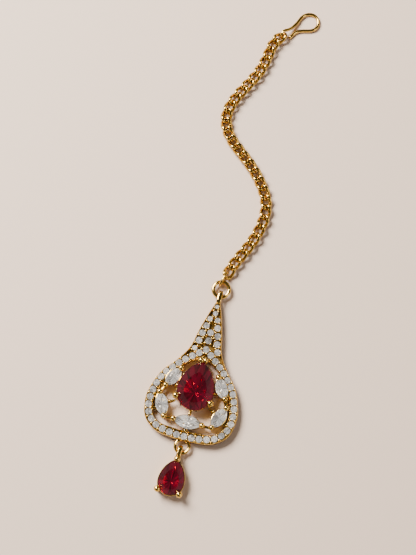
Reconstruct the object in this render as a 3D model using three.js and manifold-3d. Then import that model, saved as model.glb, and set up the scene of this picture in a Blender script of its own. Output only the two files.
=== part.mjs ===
// Maang tikka: a paved teardrop pendant round a pear stone, a pear drop below it, a curb chain and a hook.
// It lies on its back. Millimetres, +Z up, +Y from the drop to the hook, origin on the back of the neck.
import * as THREE from "three";
import { ConvexGeometry } from "three/addons/geometries/ConvexGeometry.js";
import { mergeVertices } from "three/addons/utils/BufferGeometryUtils.js";
import Module from "manifold-3d";

const wasm = await Module();
wasm.setup();

// ---- Driving dimensions ----

const SEAT_GAP = 0.1; // clearance between a stone and the metal that holds it
const SAME_POINT = 1e-4; // points nearer to each other than this are one point
const MITRE_LIMIT = 0.4; // least cosine that a sharp corner's offset is divided by
const POINT_REACH = 1.6; // how far a stone's point moves when its side moves by one

// How many faces or steps each round shape has.
const ROUND = { tube: 8, wire: 6, ring: 20, ballRound: 7, ballUp: 5, post: 5, claw: 10 };
const ARC_STEPS = { pear: 5, marquise: 5, strapEnd: 4 };

const PLATE = { floor: 1.7, rim: 2.1, rimWidth: 0.28, outerSteps: 48, innerSteps: 32 };

// Right half of the plate's outer edge, from the tip of the neck round to the middle of the bottom.
const OUTER_EDGE = [
  [0.6, 12.5],
  [1.95, 8.4],
  [2.98, 4.5],
  [3.95, 0.4],
  [6.3, -3.45],
  [9.0, -6.75],
  [10.6, -10.5],
  [11.2, -14.2],
  [10.2, -18.4],
  [7.1, -21.0],
  [3.5, -21.7],
  [0, -21.85],
];

// Right half of the opening's edge, from its pointed top round to the middle of the bottom.
const INNER_EDGE = [
  [0, -1.3],
  [3.0, -3.05],
  [5.6, -5.55],
  [7.55, -8.4],
  [8.7, -11.4],
  [9.1, -14.6],
  [8.35, -17.5],
  [6.3, -18.95],
  [3.2, -19.4],
  [0, -19.5],
];

// A pear outline is a half circle below and two arcs that meet in a point above it.
const CENTRE_STONE = { y: -10.2, radius: 4.4, point: 7.7, culet: 0.4, girdle: 3.4, table: 4.7 };
const BASKET = { wall: 0.45, spread: 0.22, rail: 0.7, top: 3.2, lean: 0.75 };
const UPRIGHT = { radius: 0.26, every: 3 }; // one at every third corner of the pear outline
const CENTRE_PRONGS = [
  { x: 0, y: -2.4, radius: 0.8 },
  { x: 4.2, y: -12.05, radius: 0.76 },
  { x: -4.2, y: -12.05, radius: 0.76 },
];
const CENTRE_BALL_Z = 3.75;
const PRONG_POST = 0.45;
const TOP_CLAW = { y: -1.5, radius: 1.05, tip: 0.55, top: 2.5 };

// How every stone is cut: outline scales of the table and the crown, and heights between the levels.
const CUT = { table: 0.6, crown: 0.86, crownRise: 0.55, halfGirdle: 0.08 };

// Long axis turned from +Y, counterclockwise, in degrees.
const MARQUISES = [
  { name: "marquise_bottom", x: 0, y: -17.4, turn: 90, half: 3.5, width: 1.65 },
  { name: "marquise_lower_right", x: 7.0, y: -14.65, turn: -23.1, half: 2.93, width: 1.55 },
  { name: "marquise_lower_left", x: -7.0, y: -14.65, turn: 23.1, half: 2.93, width: 1.55 },
  { name: "marquise_upper_right", x: 5.93, y: -7.65, turn: 29, half: 2.75, width: 1.5 },
  { name: "marquise_upper_left", x: -5.93, y: -7.65, turn: -29, half: 2.75, width: 1.5 },
];
const MARQUISE_Z = { culet: 0.9, girdle: 2.35, table: 3.0 };
const BEZEL = { wall: 0.3, spread: 0.2, bottom: 0.25, top: 2.45 };
const TIP_BALL = { radius: 0.65, z: 2.6, post: 0.42 };

// Solder joints: short bars and small balls that tie the settings to each other and to the plate.
const BARS = [
  { from: [3.5, -17.4], to: [5.85, -17.35], radius: 0.36, z: 1.5 },
  { from: [7.2, -9.95], to: [8.15, -11.95], radius: 0.4, z: 1.6 },
  { from: [8.1, -15.6], to: [9.2, -16.1], radius: 0.45, z: 1.4 },
  { from: [4.1, -12.9], to: [6.0, -14.1], radius: 0.33, z: 1.7 },
  { from: [4.0, -9.2], to: [5.2, -9.5], radius: 0.33, z: 1.9 },
  { from: [4.65, -5.35], to: [5.7, -4.8], radius: 0.45, z: 1.5 },
];
const MIDDLE_BARS = [
  { from: [0, -14.5], to: [0, -16.2], radius: 0.36, z: 1.7 },
  { from: [0, -18.8], to: [0, -20.0], radius: 0.5, z: 1.4 },
];
const SPACERS = [
  { x: 5.35, y: -13.5, z: 2.1, radius: 0.42 },
  { x: 4.6, y: -9.4, z: 2.3, radius: 0.34 },
];
const MIDDLE_SPACER = { x: 0, y: -15.35, z: 2.1, radius: 0.45 };

// Strap loops that stand on edge: length and height outside, strap thickness and width.
const BAIL = { y: 14.0, z: 1.2, length: 3.7, height: 2.4, thick: 0.6, width: 1.15 };
const DROP_LOOP = { y: 0.05, z: 1.15, length: 3.3, height: 2.3, thick: 0.58, width: 1.15 };

const CHAIN_RING = { x: -0.12, y: 16.1, z: 1.2, radius: 1.93, wire: 0.47 };
const LOWER_RING = { x: 0.15, y: -23.1, z: 1.15, radius: 1.63, wire: 0.41 };

// The drop hangs from the lower ring, and lies a little askew.
const DROP = { x: -0.1, y: -24.7, turn: -1.3 };
const DROP_STONE = { y: -7.3, radius: 3.05, point: 5.4, culet: 0.35, girdle: 2.45, table: 3.4 };
const DROP_WALL = { wall: 0.36, spread: 0.2, step: 1.2, lap: 0.05, top: 2.55 };
const DROP_PRONGS = [
  { x: 0, y: -1.75, radius: 0.8 },
  { x: 2.65, y: -9.6, radius: 0.8 },
  { x: -2.65, y: -9.6, radius: 0.8 },
];
const DROP_BALL_Z = 2.75;

// The chain's route on the surface, from the chain ring to the hook, and its oval section.
const CHAIN_ROUTE = [
  [0.45, 18.95],
  [0.65, 21.0],
  [1.75, 24.0],
  [3.15, 27.0],
  [4.4, 30.0],
  [5.25, 33.0],
  [5.7, 36.2],
  [5.4, 39.6],
  [4.1, 42.8],
  [1.6, 46.3],
  [-1.3, 49.3],
  [-4.0, 51.6],
  [-6.7, 54.0],
  [-8.8, 56.8],
  [-9.75, 60.0],
  [-9.4, 63.3],
  [-8.0, 66.8],
  [-6.35, 70.0],
  [-4.75, 73.4],
  [-3.75, 77.0],
  [-3.2, 80.6],
  [-2.3, 83.2],
];
const CHAIN = { halfWidth: 1.42, halfHeight: 0.95, steps: 30 };

// The hook's wire, from its free end round the eye and back to the turn that holds the last link.
const HOOK_ROUTE = [
  [0.85, 85.0, 0.85],
  [1.4, 86.2, 0.7],
  [2.3, 87.15, 0.55],
  [3.7, 87.68, 0.45],
  [5.3, 88.1, 0.42],
  [6.5, 88.85, 0.42],
  [6.95, 90.1, 0.42],
  [6.7, 91.4, 0.42],
  [5.8, 92.35, 0.42],
  [4.55, 92.6, 0.42],
  [3.2, 92.1, 0.42],
  [2.25, 90.9, 0.45],
  [1.7, 89.4, 0.52],
  [1.1, 87.95, 0.62],
  [0.1, 86.75, 0.75],
  [-0.5, 85.6, 0.9],
  [-0.55, 84.75, 1.0],
  [-0.05, 84.25, 1.05],
  [0.5, 84.2, 1.05],
];
const HOOK = { wire: 0.42, steps: 34 };

// ---- Materials ----

const GOLD = new THREE.MeshStandardMaterial({ color: 0xb8862f, roughness: 0.25, metalness: 1 });
const CHAIN_GOLD = new THREE.MeshStandardMaterial({ color: 0x9c6f26, roughness: 0.3, metalness: 1 });
const RUBY = new THREE.MeshStandardMaterial({ color: 0x7a0a24, roughness: 0.08, metalness: 0 });
const CRYSTAL = new THREE.MeshStandardMaterial({ color: 0xdcd8d2, roughness: 0.06, metalness: 0 });

// ---- Solids ----

// A closed three.js geometry as a solid that can be joined and cut.
function solidOf(geometry) {
  const bare = geometry.index ? geometry.toNonIndexed() : geometry.clone();
  bare.deleteAttribute("normal");
  bare.deleteAttribute("uv");
  const merged = mergeVertices(bare, SAME_POINT);
  const mesh = new wasm.Mesh({
    numProp: 3,
    vertProperties: merged.attributes.position.array,
    triVerts: new Uint32Array(merged.index.array),
  });
  return new wasm.Manifold(mesh);
}

// A solid back as a geometry.
function geometryOf(solid) {
  const mesh = solid.getMesh();
  const geometry = new THREE.BufferGeometry();
  geometry.setAttribute("position", new THREE.BufferAttribute(mesh.vertProperties, 3));
  geometry.setIndex(new THREE.BufferAttribute(mesh.triVerts, 1));
  return geometry;
}

// All geometries joined into one solid.
function joined(geometries) {
  return geometries.map(solidOf).reduce((sum, next) => sum.add(next));
}

function named(name, geometry, material) {
  const mesh = new THREE.Mesh(geometry, material);
  mesh.name = name;
  return mesh;
}

// ---- Outlines ----

// Points at equal steps on the smooth edge through a right half's knots and their mirror images.
function edgePoints(half, steps) {
  const right = half.map(([x, y]) => new THREE.Vector3(x, y, 0));
  const left = right.slice(0, -1).reverse();
  const mirrored = left.map((p) => new THREE.Vector3(-p.x, p.y, 0));
  const curve = new THREE.CatmullRomCurve3([...right, ...mirrored], false, "catmullrom", 0.5);
  const points = curve.getSpacedPoints(steps);
  const closes = points[0].distanceTo(points[steps]) < SAME_POINT;
  return (closes ? points.slice(0, -1) : points).map((p) => new THREE.Vector2(p.x, p.y));
}

// A clockwise outline moved outwards by a distance, each corner along the middle of its two normals.
function movedOut(points, distance) {
  const count = points.length;
  return points.map((p, i) => {
    const before = p.clone().sub(points[(i + count - 1) % count]).normalize();
    const after = points[(i + 1) % count].clone().sub(p).normalize();
    const outBefore = new THREE.Vector2(-before.y, before.x);
    const outAfter = new THREE.Vector2(-after.y, after.x);
    const middle = outBefore.clone().add(outAfter).normalize();
    return p.clone().addScaledVector(middle, distance / Math.max(middle.dot(outAfter), MITRE_LIMIT));
  });
}

// The flat ring between two clockwise outlines, from z low to z high. The hole runs the other way round.
function flatRing(outside, inside, low, high) {
  const shape = new THREE.Shape(outside);
  shape.holes.push(new THREE.Path([...inside].reverse()));
  const ring = new THREE.ExtrudeGeometry(shape, { depth: high - low, bevelEnabled: false });
  return ring.translate(0, 0, low);
}

// A pear outline about the middle of its round end, its point towards +Y.
function pearPoints(radius, point) {
  const side = (radius * radius + point * point) / (2 * radius);
  const reach = Math.atan2(point, side - radius);
  const shape = new THREE.Shape();
  shape.moveTo(0, point);
  shape.absarc(radius - side, 0, side, reach, 0, true);
  shape.absarc(0, 0, radius, 0, -Math.PI, true);
  shape.absarc(side - radius, 0, side, Math.PI, Math.PI - reach, true);
  return distinct(shape.getPoints(ARC_STEPS.pear));
}

// A marquise outline: two equal arcs that meet in points on +Y and -Y.
function marquisePoints(half, width) {
  const arc = (half * half + width * width) / (2 * width);
  const reach = Math.asin(half / arc);
  const shape = new THREE.Shape();
  shape.moveTo(0, half);
  shape.absarc(width - arc, 0, arc, reach, -reach, true);
  shape.absarc(arc - width, 0, arc, Math.PI + reach, Math.PI - reach, true);
  return distinct(shape.getPoints(ARC_STEPS.marquise));
}

// The points without those that repeat the one before them.
function distinct(points) {
  const count = points.length;
  return points.filter((p, i) => p.distanceTo(points[(i + count - 1) % count]) > SAME_POINT);
}

// ---- Small metal pieces ----

function ball({ x, y, z, radius }) {
  return new THREE.SphereGeometry(radius, ROUND.ballRound, ROUND.ballUp).translate(x, y, z);
}

// A round bar between two points.
function bar(from, to, radius) {
  const start = new THREE.Vector3(...from);
  const along = new THREE.Vector3(...to).sub(start);
  const rod = new THREE.CylinderGeometry(radius, radius, along.length(), ROUND.post);
  const upright = new THREE.Vector3(0, 1, 0);
  const turn = new THREE.Quaternion().setFromUnitVectors(upright, along.clone().normalize());
  const middle = start.addScaledVector(along, 0.5);
  return rod.applyQuaternion(turn).translate(middle.x, middle.y, middle.z);
}

function levelBar({ from, to, radius, z }) {
  return bar([...from, z], [...to, z], radius);
}

// A prong: a post from the back up to a round head.
function prong(x, y, z, radius, post) {
  return [bar([x, y, 0], [x, y, z], post), ball({ x, y, z, radius })];
}

// A round ring lying flat.
function flatWireRing({ x, y, z, radius, wire }) {
  return new THREE.TorusGeometry(radius, wire, ROUND.wire, ROUND.ring).translate(x, y, z);
}

// A strap bent into a long loop that stands on edge in the plane x = 0.
function strapLoop({ y, z, length, height, thick, width }) {
  const outside = slotPoints(length / 2, height / 2);
  const inside = slotPoints(length / 2 - thick, height / 2 - thick);
  const ring = flatRing(outside, inside, -width / 2, width / 2);
  const stand = new THREE.Matrix4().makeBasis(
    new THREE.Vector3(0, 1, 0),
    new THREE.Vector3(0, 0, 1),
    new THREE.Vector3(1, 0, 0),
  );
  return ring.applyMatrix4(stand).translate(0, y, z);
}

// A slot outline: two half circles of a radius, whose far edges are half a length from the middle.
function slotPoints(halfLength, radius) {
  const centre = halfLength - radius;
  const shape = new THREE.Shape();
  shape.moveTo(-centre, radius);
  shape.lineTo(centre, radius);
  shape.absarc(centre, 0, radius, Math.PI / 2, -Math.PI / 2, true);
  shape.absarc(-centre, 0, radius, -Math.PI / 2, -Math.PI * 1.5, true);
  return distinct(shape.getPoints(ARC_STEPS.strapEnd));
}

// ---- Stones and their settings ----

// A faceted stone over an outline: small table, sloping crown, thin girdle and a pointed pavilion.
function gem(outlineAt, { culet, girdle, table }, grow) {
  const levels = [
    { scale: CUT.table, z: table + grow },
    { scale: CUT.crown, z: girdle + CUT.crownRise * (table - girdle) + grow },
    { scale: 1, z: girdle + CUT.halfGirdle + grow },
    { scale: 1, z: girdle - CUT.halfGirdle - grow },
  ];
  const points = levels.flatMap(({ scale, z }) =>
    outlineAt(scale, grow).map((p) => new THREE.Vector3(p.x, p.y, z)),
  );
  return new ConvexGeometry([...points, new THREE.Vector3(0, 0, culet - grow)]);
}

function pearGem(stone, grow = 0) {
  const { radius, point } = stone;
  const outlineAt = (scale) => pearPoints(radius * scale + grow, point * scale + POINT_REACH * grow);
  return gem(outlineAt, stone, grow).translate(0, stone.y, 0);
}

function marquiseGem(stone, grow = 0) {
  const { half, width } = stone;
  const outlineAt = (scale) => marquisePoints(half * scale + POINT_REACH * grow, width * scale + grow);
  const turn = THREE.MathUtils.degToRad(stone.turn);
  return gem(outlineAt, MARQUISE_Z, grow).rotateZ(turn).translate(stone.x, stone.y, 0);
}

// A pear wall of even thickness between two heights.
function pearWall(stone, spread, wall, low, high) {
  const outside = pearPoints(stone.radius + spread, stone.point + POINT_REACH * spread);
  const within = spread - wall;
  const inside = pearPoints(stone.radius + within, stone.point + POINT_REACH * within);
  return flatRing(outside, inside, low, high).translate(0, stone.y, 0);
}

// The centre stone's basket: an upper and a lower rail joined by uprights under the prongs.
function basket() {
  const { wall, spread, rail, top, lean } = BASKET;
  const { radius, point, y } = CENTRE_STONE;
  const upper = pearWall(CENTRE_STONE, spread, wall, top - rail, top);
  const lower = pearWall(CENTRE_STONE, -lean, wall, 0, rail);
  const inset = lean + wall / 2;
  const heads = pearPoints(radius, point);
  const feet = pearPoints(radius - inset, point - POINT_REACH * inset);
  const uprights = [];
  for (let i = 1; i < heads.length; i += UPRIGHT.every) {
    const foot = [feet[i].x, feet[i].y + y, rail / 2];
    const head = [heads[i].x, heads[i].y + y, top - rail / 2];
    uprights.push(bar(foot, head, UPRIGHT.radius));
  }
  return [upper, lower, ...uprights];
}

// A marquise stone's bezel with a round-headed prong over each point.
function marquiseSetting(stone) {
  const at = (grow) => marquisePoints(stone.half + POINT_REACH * grow, stone.width + grow);
  const wall = flatRing(at(BEZEL.spread), at(BEZEL.spread - BEZEL.wall), BEZEL.bottom, BEZEL.top);
  const tips = [stone.half, -stone.half].flatMap((y) =>
    prong(0, y, TIP_BALL.z, TIP_BALL.radius, TIP_BALL.post),
  );
  const turn = THREE.MathUtils.degToRad(stone.turn);
  return [wall, ...tips].map((g) => g.rotateZ(turn).translate(stone.x, stone.y, 0));
}

// ---- Pieces ----

// Plate with a raised rim along both edges of the paved floor.
function plate() {
  const outer = edgePoints(OUTER_EDGE, PLATE.outerSteps);
  const inner = edgePoints(INNER_EDGE, PLATE.innerSteps);
  return [
    flatRing(outer, inner, 0, PLATE.floor),
    flatRing(outer, movedOut(outer, -PLATE.rimWidth), 0, PLATE.rim),
    flatRing(movedOut(inner, PLATE.rimWidth), inner, 0, PLATE.rim),
  ];
}

// The bars and balls on the right, their mirror images, and those on the middle line.
function solderJoints() {
  const across = ([x, y]) => [-x, y];
  const leftBars = BARS.map((b) => ({ ...b, from: across(b.from), to: across(b.to) }));
  const leftBalls = SPACERS.map((s) => ({ ...s, x: -s.x }));
  const bars = [...BARS, ...leftBars, ...MIDDLE_BARS].map(levelBar);
  const balls = [...SPACERS, ...leftBalls, MIDDLE_SPACER].map(ball);
  return [...bars, ...balls];
}

// Everything soldered into the pendant, with each stone's seat cut out of it.
function pendantFrame() {
  const claw = new THREE.CylinderGeometry(TOP_CLAW.tip, TOP_CLAW.radius, TOP_CLAW.top, ROUND.claw)
    .rotateX(Math.PI / 2)
    .translate(0, TOP_CLAW.y, TOP_CLAW.top / 2);
  const prongs = CENTRE_PRONGS.flatMap((p) => prong(p.x, p.y, CENTRE_BALL_Z, p.radius, PRONG_POST));
  const metal = joined([
    ...plate(),
    ...basket(),
    claw,
    ...prongs,
    ...MARQUISES.flatMap(marquiseSetting),
    ...solderJoints(),
    strapLoop(BAIL),
    flatWireRing(LOWER_RING),
  ]);
  const seats = [pearGem(CENTRE_STONE, SEAT_GAP), ...MARQUISES.map((m) => marquiseGem(m, SEAT_GAP))];
  return geometryOf(seats.map(solidOf).reduce((rest, seat) => rest.subtract(seat), metal));
}

// The drop's setting: a pear wall, three prongs and the loop it hangs by.
function dropSetting() {
  const upper = pearWall(DROP_STONE, DROP_WALL.spread, DROP_WALL.wall, DROP_WALL.step, DROP_WALL.top);
  const lower = pearWall(DROP_STONE, 0, DROP_WALL.wall, 0, DROP_WALL.step + DROP_WALL.lap);
  const prongs = DROP_PRONGS.flatMap((p) => prong(p.x, p.y, DROP_BALL_Z, p.radius, PRONG_POST));
  const metal = joined([upper, lower, ...prongs, strapLoop(DROP_LOOP)]);
  return geometryOf(metal.subtract(solidOf(pearGem(DROP_STONE, SEAT_GAP))));
}

// A many-sided section swept along a smooth route.
function tube(route, halfHeight, halfWidth, steps) {
  const corners = Array.from({ length: ROUND.tube }, (_, i) => {
    const angle = ((i + 0.5) * 2 * Math.PI) / ROUND.tube;
    return new THREE.Vector2(halfHeight * Math.cos(angle), halfWidth * Math.sin(angle));
  });
  const extrudePath = new THREE.CatmullRomCurve3(route.map((p) => new THREE.Vector3(...p)));
  const section = new THREE.Shape(corners);
  return new THREE.ExtrudeGeometry(section, { steps, extrudePath, bevelEnabled: false });
}

function chain() {
  const route = CHAIN_ROUTE.map(([x, y]) => [x, y, CHAIN.halfHeight]);
  return tube(route, CHAIN.halfHeight, CHAIN.halfWidth, CHAIN.steps);
}

function hook() {
  return tube(HOOK_ROUTE, HOOK.wire, HOOK.wire, HOOK.steps);
}

// ---- The object ----

const tikka = new THREE.Group();
tikka.add(named("pendant_frame", pendantFrame(), GOLD));
tikka.add(named("centre_stone", pearGem(CENTRE_STONE), RUBY));
for (const stone of MARQUISES) tikka.add(named(stone.name, marquiseGem(stone), CRYSTAL));
tikka.add(named("chain_ring", flatWireRing(CHAIN_RING), GOLD));
tikka.add(named("chain", chain(), CHAIN_GOLD));
tikka.add(named("hook", hook(), GOLD));

const drop = new THREE.Group();
drop.position.set(DROP.x, DROP.y, 0);
drop.rotation.z = THREE.MathUtils.degToRad(DROP.turn);
drop.add(named("drop_setting", dropSetting(), GOLD));
drop.add(named("drop_stone", pearGem(DROP_STONE), RUBY));
tikka.add(drop);

export default tikka;
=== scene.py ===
import bmesh
import bpy
import numpy as np
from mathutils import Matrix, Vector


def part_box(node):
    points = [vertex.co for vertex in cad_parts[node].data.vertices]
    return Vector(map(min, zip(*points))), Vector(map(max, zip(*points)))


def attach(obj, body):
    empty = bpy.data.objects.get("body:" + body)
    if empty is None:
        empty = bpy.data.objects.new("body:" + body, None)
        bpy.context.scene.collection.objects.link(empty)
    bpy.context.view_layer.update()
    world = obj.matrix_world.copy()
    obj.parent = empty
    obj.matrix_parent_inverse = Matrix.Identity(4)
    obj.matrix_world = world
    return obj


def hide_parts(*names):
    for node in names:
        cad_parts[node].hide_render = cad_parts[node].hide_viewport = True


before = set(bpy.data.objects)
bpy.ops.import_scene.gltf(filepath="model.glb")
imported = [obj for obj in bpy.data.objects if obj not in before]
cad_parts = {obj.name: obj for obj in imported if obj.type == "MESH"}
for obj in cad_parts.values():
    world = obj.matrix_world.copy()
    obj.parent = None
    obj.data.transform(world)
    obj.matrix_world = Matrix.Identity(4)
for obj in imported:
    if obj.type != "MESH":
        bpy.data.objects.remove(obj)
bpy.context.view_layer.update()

# ---- Camera ----
# Looks steeply down on the ornament from about a third of a metre, standing a little to its right.
# It is placed by the point it looks at, and aims there with its own up direction towards the hook.

MM = 0.001
LOOK_AT = np.array([-4.07, 18.54, 0.0])
CAMERA_TURN = np.radians(14.2)
CAMERA_HEIGHT = np.radians(76.0)
CAMERA_AWAY = 321.0
LENS = 85.0
SENSOR = 36.0


def facing(turn, height):
    """Unit vector from the ornament outwards: turned from -Y about the upright axis, then raised."""
    level = np.array([np.sin(turn), -np.cos(turn), 0.0]) * np.cos(height)
    return level + np.array([0.0, 0.0, np.sin(height)])


camera_data = bpy.data.cameras.new("camera")
camera_data.lens = LENS
camera_data.sensor_width = SENSOR
camera_data.clip_start = 0.01
camera = bpy.data.objects.new("camera", camera_data)
camera.location = (LOOK_AT + facing(CAMERA_TURN, CAMERA_HEIGHT) * CAMERA_AWAY) * MM
camera.rotation_euler = (np.pi / 2 - CAMERA_HEIGHT, 0.0, CAMERA_TURN)
bpy.context.scene.collection.objects.link(camera)
bpy.context.scene.camera = camera

# ---- Plate ----
# A cast teardrop plate with a long neck, in antique yellow gold over brass. A thin smooth rim runs round
# its outer edge and round its opening, and the floor between them is sunk. The sunk floor and the plate's
# walls are coloured a darker gold, which is painted shade.
# The body is one ring of sections between the two edges, and each rim a section carried along its edge.

FLOOR = 1.2
RIM = {"inset": 0.14, "half": 0.15, "middle": 1.55, "rise": 0.56, "square": 0.8}
WALL_TOP = 1.62
NECK_SHARE = 0.42
NECK_SPREAD = 0.05
HALF_STEPS = 130

# Right half of the plate's outer edge, from the tip of the neck round to the middle of the bottom.
OUTER_EDGE = np.array([
    [0.6, 12.5], [1.95, 8.4], [2.98, 4.5], [3.95, 0.4], [6.3, -3.45], [9.0, -6.75],
    [10.6, -10.5], [11.2, -14.2], [10.2, -18.4], [7.1, -21.0], [3.5, -21.7], [0.0, -21.85],
])

# Right half of the opening's edge, from its pointed top round to the middle of the bottom.
INNER_EDGE = np.array([
    [0.0, -1.3], [3.0, -3.05], [5.6, -5.55], [7.55, -8.4], [8.7, -11.4],
    [9.1, -14.6], [8.35, -17.5], [6.3, -18.95], [3.2, -19.4], [0.0, -19.5],
])


def smooth_path(knots, steps=24):
    """Catmull-Rom curve through the knots: each span is the cubic whose slope at a knot is half the way
    between that knot's two neighbours. The ends are carried on in a straight line."""
    ghosts = np.vstack([2 * knots[0] - knots[1], knots, 2 * knots[-1] - knots[-2]])
    before, start, end, after = ghosts[:-3], ghosts[1:-2], ghosts[2:-1], ghosts[3:]
    t = np.linspace(0.0, 1.0, steps, endpoint=False)[None, :, None]
    before, start, end, after = (p[:, None, :] for p in (before, start, end, after))
    slope_in = (end - before) / 2
    slope_out = (after - start) / 2
    rise = end - start
    cubic = start + slope_in * t
    cubic = cubic + (3 * rise - 2 * slope_in - slope_out) * t**2
    cubic = cubic + (slope_in + slope_out - 2 * rise) * t**3
    return np.vstack([cubic.reshape(-1, knots.shape[1]), knots[-1:]])


def at_shares(path, shares):
    """Points of a path at shares of its whole length, from 0 to 1."""
    steps = np.linalg.norm(np.diff(path, axis=0), axis=1)
    length = np.concatenate([[0.0], np.cumsum(steps)])
    wanted = np.asarray(shares) * length[-1]
    return np.stack([np.interp(wanted, length, column) for column in path.T], axis=1)


def whole_edge(right_half):
    """The smooth edge through the right half's knots and their mirror images, starting at the top."""
    left_half = right_half[-2::-1] * [-1.0, 1.0]
    return smooth_path(np.vstack([right_half, left_half]))


def even_loop(path, count):
    """Points at equal steps round a closed path, the first on its first point."""
    closed = np.vstack([path, path[:1]])
    return at_shares(closed, np.arange(count) / count)


def raised(flat, height):
    """Level points given one height or a height each."""
    return np.column_stack([flat, np.broadcast_to(height, len(flat))])


def grid_skin(points, closed, tips=None):
    """A skin of quads over a grid of points whose columns close on themselves. Its rows close too, or
    else a fan of triangles runs from each end row to a tip, which is the middle of the row if not given."""
    rows, columns = points.shape[:2]
    index = np.arange(rows * columns).reshape(rows, columns)
    across = np.roll(index, -1, axis=1)
    corners = np.stack([index, across, np.roll(across, -1, axis=0), np.roll(index, -1, axis=0)], axis=-1)
    if closed:
        return points.reshape(-1, 3), [(corners.reshape(-1, 4), 0)]
    if tips is None:
        tips = points[[0, -1]].mean(axis=1)
    first, last = rows * columns, rows * columns + 1
    near = np.column_stack([across[0], index[0], np.full(columns, first)])
    far = np.column_stack([index[-1], across[-1], np.full(columns, last)])
    body = [(corners[:-1].reshape(-1, 4), 0), (np.vstack([near, far]), 0)]
    return np.vstack([points.reshape(-1, 3), tips]), body


def carried(path, section, upright=(0.0, 0.0, 1.0), closed=True, swell=1.0):
    """A flat section carried along a path: each point is the path's, plus the section's first number
    times the side direction and its second times the upright one, which is made square to the path."""
    if closed:
        ahead = np.roll(path, -1, axis=0) - np.roll(path, 1, axis=0)
    else:
        ahead = np.gradient(path, axis=0)
    ahead = ahead / np.linalg.norm(ahead, axis=1, keepdims=True)
    upright = np.asarray(upright)
    up = upright - (ahead @ upright)[:, None] * ahead
    up = up / np.linalg.norm(up, axis=1, keepdims=True)
    side = np.cross(ahead, up)
    size = np.broadcast_to(swell, len(path))[:, None, None]
    reach = section[None, :, 0, None] * side[:, None] + section[None, :, 1, None] * up[:, None]
    return grid_skin(path[:, None] + size * reach, closed)


def oval(half_wide, half_high, count, square=1.0):
    """A closed section: half widths times cosine and sine, each raised to a power that squares it off."""
    angle = np.arange(count) * 2 * np.pi / count
    cosine, sine = np.cos(angle), np.sin(angle)
    wide = half_wide * np.sign(cosine) * np.abs(cosine) ** square
    high = half_high * np.sign(sine) * np.abs(sine) ** square
    return np.column_stack([wide, high])


def inset(loop, distance):
    """A closed clockwise level loop moved inwards, square to the line between each point's neighbours."""
    ahead = np.roll(loop, -1, axis=0) - np.roll(loop, 1, axis=0)
    ahead = ahead / np.linalg.norm(ahead, axis=1, keepdims=True)
    return loop + distance * np.column_stack([ahead[:, 1], -ahead[:, 0]])


def marked(skin, mark):
    """The same skin in another of its piece's finishes."""
    points, groups = skin
    return points, [(corners, mark) for corners, _ in groups]


def add_node(tree, kind, values=(), **settings):
    """A node with its settings and the values of its input sockets."""
    node = tree.nodes.new(kind)
    for key, value in settings.items():
        setattr(node, key, value)
    for key, value in dict(values).items():
        node.inputs[key].default_value = value
    return node


def blend_colours(tree, share, first, second):
    """A mix of two colour sockets by a share socket. The node has a numbered set of sockets for each kind
    of value, and these are the ones for colours."""
    mix = add_node(tree, "ShaderNodeMix", data_type="RGBA")
    tree.links.new(share, mix.inputs[0])
    tree.links.new(first, mix.inputs[6])
    tree.links.new(second, mix.inputs[7])
    return mix.outputs[2]


def worn_metal_group():
    """Cloudy tone, small dark specks and fine hair scratches, from three sizes of noise on the piece."""
    group = bpy.data.node_groups.new("worn metal", "ShaderNodeTree")
    for label, kind in (("Bright", "Color"), ("Dull", "Color"), ("Base Roughness", "Float")):
        group.interface.new_socket(name=label, in_out="INPUT", socket_type=f"NodeSocket{kind}")
    for label, kind in (("Colour", "Color"), ("Roughness", "Float"), ("Height", "Float")):
        group.interface.new_socket(name=label, in_out="OUTPUT", socket_type=f"NodeSocket{kind}")
    given = group.nodes.new("NodeGroupInput")
    result = group.nodes.new("NodeGroupOutput")
    place = group.nodes.new("ShaderNodeTexCoord").outputs["Object"]
    cloud = add_node(group, "ShaderNodeTexNoise", {"Scale": 420.0, "Detail": 4.0, "Roughness": 0.6})
    speck = add_node(group, "ShaderNodeTexNoise", {"Scale": 2600.0, "Detail": 3.0, "Roughness": 0.7})
    stretch = add_node(group, "ShaderNodeMapping", {"Scale": (900.0, 7000.0, 3000.0)})
    stretch.inputs["Rotation"].default_value = (0.4, 0.3, 0.7)
    scratch = add_node(group, "ShaderNodeTexNoise", {"Scale": 1.0, "Detail": 2.0})
    group.links.new(place, cloud.inputs["Vector"])
    group.links.new(place, speck.inputs["Vector"])
    group.links.new(place, stretch.inputs["Vector"])
    group.links.new(stretch.outputs[0], scratch.inputs["Vector"])
    tone = add_node(group, "ShaderNodeMapRange", {"From Min": 0.45, "From Max": 0.75, "To Max": 0.75})
    group.links.new(cloud.outputs[0], tone.inputs[0])
    dark = add_node(group, "ShaderNodeMapRange", {"From Min": 0.6, "From Max": 0.78, "To Max": 0.6})
    group.links.new(speck.outputs[0], dark.inputs[0])
    both = add_node(group, "ShaderNodeMath", operation="MAXIMUM")
    group.links.new(tone.outputs[0], both.inputs[0])
    group.links.new(dark.outputs[0], both.inputs[1])
    colour = blend_colours(group, both.outputs[0], given.outputs["Bright"], given.outputs["Dull"])
    group.links.new(colour, result.inputs["Colour"])
    wear = add_node(group, "ShaderNodeMath", {1: 0.16}, operation="MULTIPLY")
    group.links.new(both.outputs[0], wear.inputs[0])
    rough = add_node(group, "ShaderNodeMath", operation="ADD")
    group.links.new(wear.outputs[0], rough.inputs[0])
    group.links.new(given.outputs["Base Roughness"], rough.inputs[1])
    group.links.new(rough.outputs[0], result.inputs["Roughness"])
    height = add_node(group, "ShaderNodeMath", {2: 0.5}, operation="MULTIPLY_ADD")
    group.links.new(speck.outputs[0], height.inputs[0])
    height.inputs[1].default_value = 0.6
    group.links.new(scratch.outputs[0], height.inputs[2])
    group.links.new(height.outputs[0], result.inputs["Height"])
    return group


WORN_METAL = worn_metal_group()


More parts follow.
